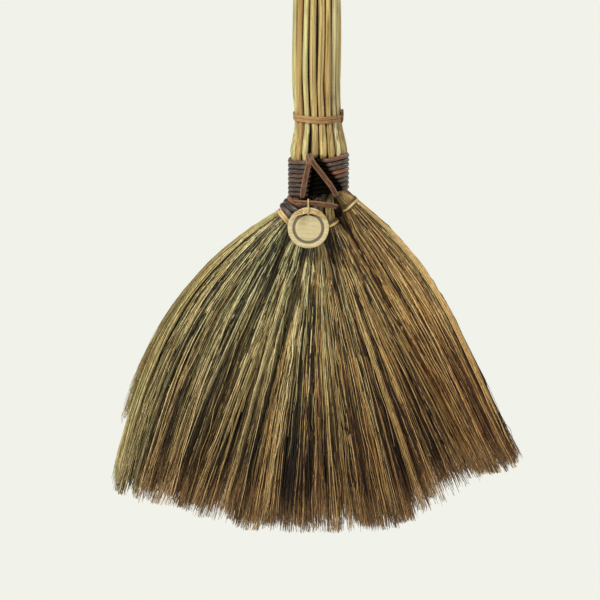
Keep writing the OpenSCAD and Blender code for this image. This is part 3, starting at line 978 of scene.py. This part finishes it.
def make_neck_fibres(material):
    """Fibres that already show between the neck's wrap and each hand's tie."""
    count = NECK_FIBRES
    margin, room = 1.7, 0.15
    for hand, name in enumerate(HANDS):
        group = np.array([stalk_level(p, HAND_LEAVE[hand]) for p in HAND_PLACES[hand]])
        low, high = group.min(0) - margin, group.max(0) + margin
        s, d = ring_places(count, 0.8, 1.0)
        start = np.stack([(low[0] + high[0]) / 2 + s * (high[0] - low[0]) / 2,
                          (low[1] + high[1]) / 2 + d * (high[1] - low[1]) / 2,
                          np.full(count, HAND_LEAVE[hand] + 3.0)], -1)
        start[:, 1] += 2.0 * recess(*start.T)
        start[:, 0] += neck_shift(start[:, 2])
        down = down_of(hand)
        inside = (HAND_CENTRE[hand] + s[:, None] * (HAND_HALF_W[hand] - room) * across_of(hand)
                  + np.stack([s * 0, d * (HAND_HALF_D[hand] - room), s * 0], -1))
        above_tie, below_tie = 2.4, 3.5
        top, foot = inside - above_tie * down, inside + below_tie * down
        t = np.linspace(0, 1, 6)[None, :, None]
        arc = bezier(start[:, None], start[:, None] - [0, 0, 2.5], top[:, None] - down * 3, top[:, None], t)
        path = np.concatenate([arc, foot[:, None]], 1)
        path[:, 1:-2] += rng.normal(0, 0.12, (count, 4, 3)) * [1, 1, 0]
        tone = np.clip(rng.normal(0.5, 0.2, count), 0, 1)
        warm = np.clip(0.4 + path[:, 0, 0] / 60 + rng.normal(0, 0.15, count), 0, 1)
        radius = np.broadcast_to(rng.uniform(0.14, 0.26, count)[:, None, None], (count, 7, 2))
        x, y, h = np.moveaxis(path, -1, 0)
        # Painted shade: fibres in the neck's drawn-in front go near black, and the first four hands'
        # fibres, left to centre, are darkened by 0.6.
        deep_shade = 0.95 * recess(x, y, h) * smooth((h - 212) / 4)
        deep_shade = np.maximum(deep_shade, 0.6 if hand < 4 else 0.0)
        obj = tubes(f"neck_fibres_{name}", path, radius, (0, 1, 0), round_profile(3),
                    {"tone": tone, "warm": warm, "along": 0, "tip": 0, "deep_shade": deep_shade})
        finish_piece(obj, material, "handle")


# ---------------------------------------------------------------- ties and wraps

def strip_profile(groove):
    """A split cane's section: flat inside, two rounded ridges outside. Half sizes are 1."""
    a = np.linspace(0, math.pi, 13)
    furrow = 1 - groove * np.exp(-(np.cos(a) / 0.28) ** 2)
    outer = np.stack([np.cos(a), 0.1 + 0.9 * np.sin(a) ** 0.6 * furrow], -1)
    inner = np.array([[-0.97, -0.35], [-0.8, -0.9], [0.8, -0.9], [0.97, -0.35]])
    return np.concatenate([outer, inner])


def sweep(name, path, outward, half_w, half_t, profile, tone, dark=None):
    """One strip or cord along a path, its section's second axis pointing outward."""
    path = np.asarray(path, float)
    rings = len(path)
    along = unit(np.gradient(path, axis=0))
    rise = unit(np.cross(outward, along))
    run = np.concatenate([[0], np.cumsum(np.linalg.norm(np.diff(path, axis=0), axis=1))])
    sides = len(profile)
    girth = np.linspace(0, 1, sides)[None, None, :] * np.ones((1, rings, 1))
    widths = np.stack([np.broadcast_to(half_w, rings), np.broadcast_to(half_t, rings)], -1)[None]
    dark = np.zeros(rings) if dark is None else dark
    attributes = {"run": run[None], "tone": np.broadcast_to(tone, rings)[None], "dark": dark[None]}
    obj = tubes(name, path[None], widths, rise[None], profile, attributes)
    number_points(obj, "girth", girth)
    number_points(obj, "edge", np.abs(profile[:, 0]) ** 4 + 0 * girth)
    return obj


def joined(name, objects):
    """One piece from several meshes."""
    for o in bpy.context.selected_objects:
        o.select_set(False)
    for o in objects:
        o.select_set(True)
    bpy.context.view_layer.objects.active = objects[0]
    if len(objects) > 1:
        bpy.ops.object.join()
    objects[0].name = name
    objects[0].data.name = name
    return objects[0]


def oval_outward(a, half_w=1.0, half_d=1.0):
    """Outward directions round an oval."""
    return unit(np.stack([np.cos(a) / half_w, np.sin(a) / half_d, 0 * a], -1))


def coil_points(half_w, half_d, turns, pitch, start, steps=56):
    """A coil wound downwards round an oval, its outward directions and its angles."""
    a = math.radians(start) + np.linspace(0, 2 * math.pi * turns, int(turns * steps) + 1)
    z = -pitch * (a - a[0]) / (2 * math.pi)
    points = np.stack([half_w * np.cos(a), half_d * np.sin(a), z], -1)
    return points, oval_outward(a, half_w, half_d), a


def make_handle_ties(material, knot_material):
    """Two turns of split rattan at each tie, thin enough to lie close on the stalks."""
    strip_w, strip_t = 2.1, 1.1
    for n, height in enumerate(TIE_HEIGHTS):
        r = HANDLE_R + strip_t / 2 + 0.3
        path, outward, a = coil_points(r, r, 2.05, strip_w + 0.1, 10)
        path[:, 2] += height + strip_w + 0.3 * np.sin(a) + 0.1 * np.sin(5 * a + n)
        path[:, :2] *= (1 + 0.006 * np.sin(9 * a + 2 * n))[:, None]
        path[:, 0] += neck_shift(path[:, 2])
        obj = sweep(f"rattan_tie_{n + 1}", path, outward, strip_w / 2, strip_t / 2, strip_profile(0.3),
                    0.5 + 0.2 * np.sin(2 * a + n))
        finish_piece(obj, material, "handle", [f"handle_tie_{n + 1}"])
    make_knots(knot_material, strip_w, strip_t)


def make_knots(material, strip_w, strip_t):
    """The tucked ends: each comes over the turns, and its cut end sticks out a little."""
    parts = []
    for n, height in enumerate(TIE_HEIGHTS):
        reach = HANDLE_R + strip_t
        t = np.linspace(0, 1, 14)
        for k, (start, twist) in enumerate(((-0.30, 0.34), (-0.02, -0.30))):
            a = start + twist * t
            r = reach + 0.4 * np.sin(math.pi * t) ** 0.5 + 0.15 * k
            path = np.stack([r * np.cos(a) + neck_shift(height), r * np.sin(a), height + 3.9 - 7.4 * t], -1)
            parts.append(sweep(f"knot_{n}_{k}", path, oval_outward(a), 0.95, 0.6, strip_profile(0.2),
                               0.2 + 0.3 * k, dark=0.3 + 0 * t))
    finish_piece(joined("tie_knots", parts), material, "handle", ["handle_tie_knots"])


def make_top_binding(material):
    strip_w, strip_t, turns = 2.1, 1.5, 7.05
    r = HANDLE_R + strip_t / 2 + 0.1
    path, outward, a = coil_points(r, r, turns, strip_w + 0.1, 10)
    path[:, 2] += BROOM_LENGTH - 12 + 0.12 * np.sin(6 * a)
    obj = sweep("top_rattan", path, outward, strip_w / 2, strip_t / 2, strip_profile(0.3),
                0.5 + 0.25 * np.sin(1.7 * a))
    finish_piece(obj, material, "handle", ["top_binding"])


def make_hand_ties(material):
    """Two turns of pale cane round each hand; the right hands' upper turn is painted dark as the neck's
    shade.
    """
    strip_w, strip_t, turns = 1.6, 0.9, 2.0
    pitch = strip_w + 0.1
    for hand, name in enumerate(HANDS):
        half_w = HAND_HALF_W[hand] + strip_t / 2 + 0.12
        half_d = HAND_HALF_D[hand] + strip_t / 2 + 0.12
        path, outward, a = coil_points(half_w, half_d, turns, pitch, 200, steps=40)
        path[:, 2] += turns * pitch / 2 + 0.15 * np.sin(3 * a + hand)
        turn = leaning(HAND_LEAN[hand])
        path = path @ turn + HAND_CENTRE[hand]
        outward = outward @ turn
        shaded = np.where((a - a[0] < 2 * math.pi) & (hand >= 4), 0.8, 0.0)
        obj = sweep(f"pale_tie_{name}", path, outward, strip_w / 2, strip_t / 2, strip_profile(0.15),
                    0.55 + 0.3 * np.sin(2 * a + hand), shaded)
        finish_piece(obj, material, "handle", [f"hand_tie_{name}"])


CORD_PROFILE = round_profile(16, 0.06, 5)


def wrap_coil(name, top, turns, tones, material, node):
    """A wound cord: each turn slopes up to the right, and draws in between the laces, where it is painted
    near black as shade.
    """
    path, outward, a = coil_points(NECK_HALF_W + WRAP_D / 2, NECK_HALF_D + WRAP_D / 2, turns, WRAP_PITCH,
                                   60, 96)
    path[:, 2] += top + path[:, 0] * WRAP_TILT + 0.12 * np.sin(7 * a)
    # The share drawn in also paints the cord near black there, as shade.
    deep_shade = recess(*path.T)
    path[:, 1] += 3.0 * deep_shade
    path[:, 0] += neck_shift(path[:, 2])
    turn_number = (a - a[0]) / (2 * math.pi)
    redder = 0.3 * smooth(path[:, 0] / 10)
    tone = np.interp(turn_number, np.arange(len(tones)), tones) + redder
    obj = sweep(name, path, outward, WRAP_D / 2, WRAP_D / 2 * (1 - 0.05 * np.sin(11 * a)),
                CORD_PROFILE, tone, dark=np.clip(deep_shade * 1.2, 0, 0.98))
    finish_piece(obj, material, "handle", [node])


def make_neck(dark, red):
    lower_top = WRAP_TOP - 5 * WRAP_PITCH
    upper_tones = [0.9, 0.2, 0.05, 0.25, 0.9, 0.1, 0.05]
    lower_tones = [0.3, 0.05, 0.15, 0.3, 0.8]
    wrap_coil("wrap_upper", WRAP_TOP, 4.9, upper_tones, dark, "neck_wrap_upper")
    wrap_coil("wrap_lower", lower_top, 3, lower_tones, dark, "neck_wrap_lower")
    make_left_turns(dark)
    make_foot_turn(red)
    make_laces(red)


def make_left_turns(material):
    """Three flattened turns round the outside of the left hand, each leaning more than the last."""
    turn_d, half_w = WRAP_D - 0.2, 10.0
    parts = []
    for n, share in enumerate((0.2, 0.6, 1.0)):
        leave = HAND_LEAVE[0]
        edge = mix(np.array([-14.4, 0, leave + 1.2]), np.array([-20.4, 0, leave - 5.6]), share)
        lean = math.radians(mix(10, 42, share))
        half_d = mix(NECK_HALF_D, HAND_HALF_D[0] + 1.2, share) + turn_d / 2
        a = np.radians(np.linspace(98, 262, 50))
        local = np.stack([half_w * np.cos(a) + half_w - turn_d / 2 - 0.3, half_d * np.sin(a), 0 * a], -1)
        turn = leaning(-lean)
        outward = oval_outward(a, half_w, half_d) @ turn
        parts.append(sweep(f"left_turn_{n}", local @ turn + edge, outward, 0.7 * turn_d, turn_d / 2,
                           CORD_PROFILE, (0.85, 0.1, 0.25)[n]))
    finish_piece(joined("left_turns", parts), material, "handle", ["neck_wrap_left_turns"])


def spline(points, count):
    """A smooth line through a few points (Catmull and Rom's), evenly stepped."""
    p = np.asarray(points, float)
    p = np.concatenate([[2 * p[0] - p[1]], p, [2 * p[-1] - p[-2]]])
    u = np.linspace(0, len(p) - 3 - 1e-6, count)
    i = u.astype(int)
    f = (u - i)[:, None]
    a, b, c, d = p[i], p[i + 1], p[i + 2], p[i + 3]
    square, cube = 2 * a - 5 * b + 4 * c - d, 3 * b - a - 3 * c + d
    return 0.5 * (2 * b + (c - a) * f + square * f ** 2 + cube * f ** 3)


FOOT_ROUTE = [(-13.5, -15.2, 215.4), (-11, -17.8, 215.4), (-7, -19, 215.4), (-3, -19, 215.4),
              (1, -18.9, 215), (6, -18.6, 214.2), (10, -17.6, 213.4), (13, -15.8, 212.2),
              (14.6, -14.6, 209.4), (14.4, -13.2, 206.2)]
LEFT_LACE_ROUTE = [(-5.2, -15.2, 244.5), (-4.9, -18.2, 240.2), (-6.2, -18.5, 234), (-7.8, -18.4, 226),
                   (-8.9, -18, 218.6)]
RIGHT_LACE_ROUTE = [(-4.4, -15.6, 246.0), (-2.2, -18.8, 241.4), (3.6, -18.6, 233.6), (9.2, -17.7, 226),
                    (13, -16.3, 219.2)]


def make_foot_turn(material):
    """The slack turn that the tag hangs on; its right end is tucked away and painted near black as shadow.
    """
    path = spline(FOOT_ROUTE, 60)
    outward = np.broadcast_to([0, -1.0, 0], path.shape)
    # Painted shadow: the right end goes near black where it tucks away.
    painted_tuck_shadow = 0.95 * smooth((path[:, 0] - 11.5) / 2)
    obj = sweep("foot_turn", path, outward, 1.6, 1.1, strip_profile(0.35), 0.5, painted_tuck_shadow)
    finish_piece(obj, material, "handle", ["neck_foot_turn"])


def make_laces(material):
    for side, route, tone in (("left", LEFT_LACE_ROUTE, 0.45), ("right", RIGHT_LACE_ROUTE, 0.15)):
        path = spline(route, 48)
        outward = np.broadcast_to([0, -1.0, 0], path.shape)
        width = 1.65 * (1 - 0.25 * np.abs(np.linspace(-1, 1, 48)) ** 6)
        obj = sweep(f"lace_strip_{side}", path, outward, width, 0.65, strip_profile(0.6), tone)
        finish_piece(obj, material, "handle", [f"lace_{side}"])


# ---------------------------------------------------------------- tag

TWINE_X = -5.0
TWINE_HANG = np.array([-19.0, 215.4])
TAG_HOLE = np.array([TWINE_X, -22.2, 209.8])
TAG_R = 13.0
TAG_T = 1.6
TAG_RIM = 3.4
TAG_HOLE_R = 1.2


def make_frays():
    """The raffia's flattened, frayed ends: they lie over the tag's top to left and right."""
    frays = []
    for k in range(44):
        side = -1 if k % 5 < 2 else 1
        reach = rng.uniform(5, 11.5)
        start = TAG_HOLE + [rng.normal(0, 0.6), -1.1, rng.uniform(0.0, 1.4)]
        tip = start + [side * reach, rng.uniform(-0.9, 0.1), rng.uniform(-1.0, 2.2) - 0.028 * reach ** 2]
        middle = (start + tip) / 2 + [0, -rng.uniform(0.2, 0.9), rng.uniform(0.2, 1.6)]
        frays.append(spline([start, middle, tip], 10))
    frays = np.array(frays)
    fade = np.linspace(1, 0.3, 10)[None, :] * rng.uniform(0.6, 1.0, (len(frays), 1))
    thin = np.stack([0.16 * fade, 0.52 * fade], -1)
    return tubes("frays", frays, thin, (0, 1, 0.2), round_profile(6))


def make_twine(material):
    """Three plies of raffia through the tag's hole, and their frayed ends over the tag's top."""
    eye_r, loop_r, ply_r, ply_offset = 2.7, 2.2, 0.27, 0.24
    eye = TAG_HOLE[1:] + [0, eye_r]
    down = unit(eye - TWINE_HANG)
    out = np.array([down[1], -down[0]])
    upper, lower = np.radians(np.arange(0, 181, 30)), np.radians(np.arange(180, 361, 30))
    ring = [TWINE_HANG + loop_r * (math.cos(a) * out - math.sin(a) * down) for a in upper]
    ring += [eye + eye_r * (math.cos(a) * out - math.sin(a) * down) for a in lower]
    ring = np.array([(TWINE_X, p[0], p[1]) for p in ring])
    ring = spline(np.concatenate([ring, ring[:1]]), 90)[:-1]
    along = unit(np.roll(ring, -1, 0) - np.roll(ring, 1, 0))
    side = np.array([1.0, 0, 0])
    other = np.cross(along, side)
    parts = []
    plies, twists = 3, 5
    turns = np.linspace(0, 2 * math.pi * twists, len(ring), endpoint=False)
    for ply in range(plies):
        phase = turns + ply * 2 * math.pi / plies
        line = ring + ply_offset * (np.cos(phase)[:, None] * side + np.sin(phase)[:, None] * other)
        parts.append(tubes(f"ply_{ply}", line[None], np.full((1, len(ring), 2), ply_r), (1, 0, 0),
                           round_profile(8), closed=True))
    parts.append(make_frays())
    finish_piece(joined("raffia", parts), material, "twine", ["tag_twine"])


def make_tag(material):
    """A disc with worn round edges, a pierced hole and a plain ring burnt into its face."""
    around = 128
    a = np.linspace(0, 2 * math.pi, around, endpoint=False)
    half = TAG_T / 2
    ring_in, ring_out, soft_edge = 8.2, 10.0, 0.12
    burn = half - 0.05
    section = [(0.0, half), (ring_in - soft_edge, half), (ring_in, burn), (ring_out, burn),
               (ring_out + soft_edge, half), (TAG_R - 0.5, half), (TAG_R - 0.15, half - 0.12),
               (TAG_R, half - 0.45), (TAG_R, 0.45 - half), (TAG_R - 0.15, 0.12 - half),
               (TAG_R - 0.5, -half), (0.0, -half)]
    hole_up = TAG_R - TAG_RIM
    verts, burnt = [], []
    for r, y in section:
        for angle in a:
            cx = TAG_HOLE_R * math.cos(angle)
            cz = TAG_HOLE_R * math.sin(angle) + hole_up
            x, z = (cx, cz) if r == 0 else (r * math.cos(angle), r * math.sin(angle))
            wear = 1 + 0.004 * math.sin(5 * angle) + 0.003 * math.sin(11 * angle + 1)
            scale = wear if r > TAG_R - 1 else 1
            verts.append((x * scale, -y, z * scale))
            on_ring = ring_in <= r <= ring_out and y > 0
            burnt.append(0.9 if on_ring else 0.35 if r in (0, TAG_R) else 0.0)
    verts = np.array(verts) + TAG_HOLE - [0, 0, hole_up]
    rows = len(section)
    quads, _ = tube_faces(1, rows, around)
    here = np.arange(around)
    after = (here + 1) % around
    back = (rows - 1) * around
    bore = np.stack([here, back + here, back + after, after], -1)
    obj = mesh_from_groups("round_tag", to_frame(verts), [quads, bore], {"burnt": np.array(burnt)})
    finish_piece(obj, material, "tag", ["tag"])


# ---------------------------------------------------------------- build

make_camera()
make_studio()
make_stalks(stalk_paint())
grass = fibre_paint()
stems_in_painted_shade = core_shade_paint()
make_fibres(grass, stems_in_painted_shade)
make_crotch_fibres(grass, stems_in_painted_shade)
make_neck_fibres(grass)
rattan = strip_paint("rattan", srgb(82, 50, 24), srgb(152, 112, 62), srgb(206, 168, 108))
cane = strip_paint("pale_cane", srgb(132, 96, 50), srgb(194, 160, 102), srgb(234, 212, 160))
# The dark cord's light grain streaks are grey-beige: partly its own pale fibres, partly painted highlight
# of its gloss.
dark_cord = strip_paint("dark_cord", srgb(26, 19, 16), srgb(68, 52, 44), srgb(164, 92, 50), (0.22, 0.6),
                        streak=srgb(142, 122, 106))
red_cord = strip_paint("red_cord", srgb(32, 15, 8), srgb(76, 42, 23), srgb(164, 120, 78), (0.26, 0.6), 0.85)
make_handle_ties(rattan, red_cord)
make_top_binding(rattan)
make_hand_ties(cane)
make_neck(dark_cord, red_cord)
make_twine(twine_paint())
make_tag(tag_paint())
